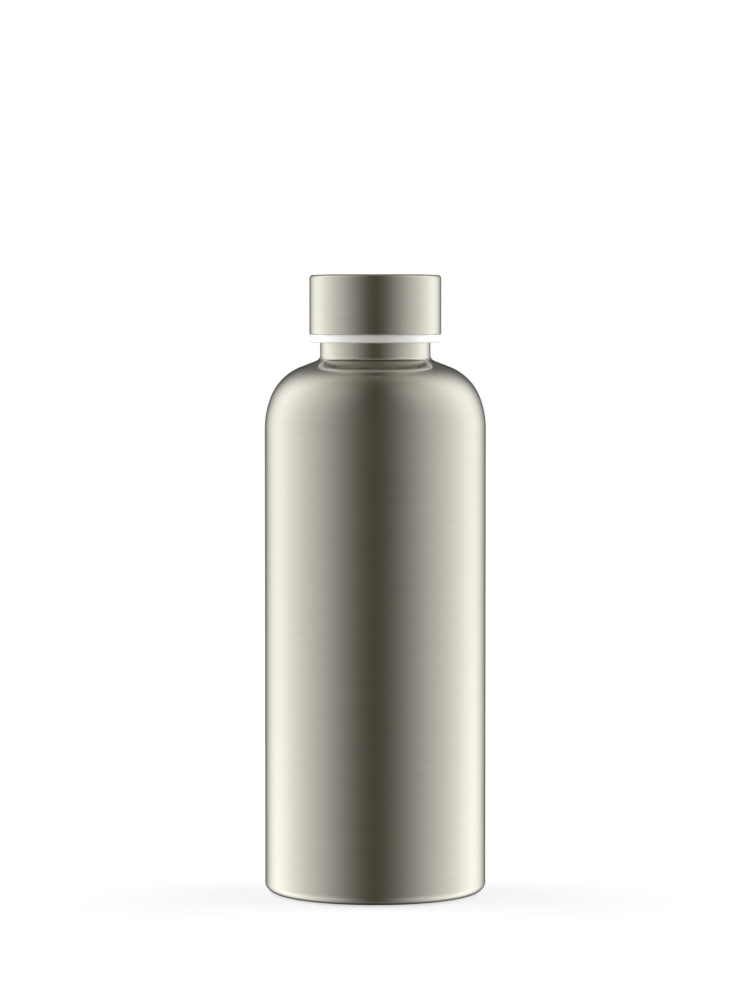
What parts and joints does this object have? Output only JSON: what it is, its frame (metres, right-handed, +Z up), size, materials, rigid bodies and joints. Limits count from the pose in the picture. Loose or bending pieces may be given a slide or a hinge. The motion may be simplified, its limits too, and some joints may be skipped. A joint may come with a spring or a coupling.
{
  "type": "insulated water bottle",
  "caption": "Double-walled vacuum bottle in brushed stainless steel with a rounded shoulder, a short threaded neck and a flat steel-clad screw lid over a white plastic ring.",
  "frame": {"origin": "centre of the circle that the foot ring stands on", "axes": "+Z up along the bottle's axis, from the foot to the lid; X and Y in the plane of the foot"},
  "size_m": [0.073, 0.073, 0.2043],
  "materials": {
    "brushed_steel": "satin, fine brush lines round the axis, faint warm tint",
    "liner_steel": "plain drawn steel, lightly spun",
    "foil": "bright foil",
    "white_plastic": "white food-grade moulding, semi-gloss",
    "silicone": "translucent white silicone, matte",
    "foam": "closed-cell insulating foam",
    "getter": "sintered grey pellet",
    "seal_glass": "dark solder glass"
  },
  "bodies": {
    "flask": {"outer_body": "brushed_steel", "inner_body": "liner_steel", "inner_bottom": "liner_steel", "foil_wrap": "foil", "foil_disc": "foil", "outer_bottom": "liner_steel", "seal_bead": "seal_glass", "base_cover": "brushed_steel", "getter_pellet": "getter", "getter_clip": "liner_steel"},
    "gasket": {"lid_gasket": "silicone"},
    "lid": {"lid_shell": "brushed_steel", "lid_insert": "white_plastic", "lid_foam": "foam", "lid_foam_cover": "white_plastic"}
  },
  "joints": [
    {"name": "cap_rise", "type": "slide", "parent": "flask", "child": "gasket", "axis": [0, 0, 1], "range_m": [0, 0.024]},
    {"name": "cap_turn", "type": "hinge", "parent": "gasket", "child": "lid", "pos_m": [0, 0, 0.18], "axis": [0, 0, 1], "range_deg": [0, 1080]}
  ],
  "couplings": [
    {"joint": "cap_rise", "follows": "cap_turn", "m_per_rad": 0.0012732}
  ]
}
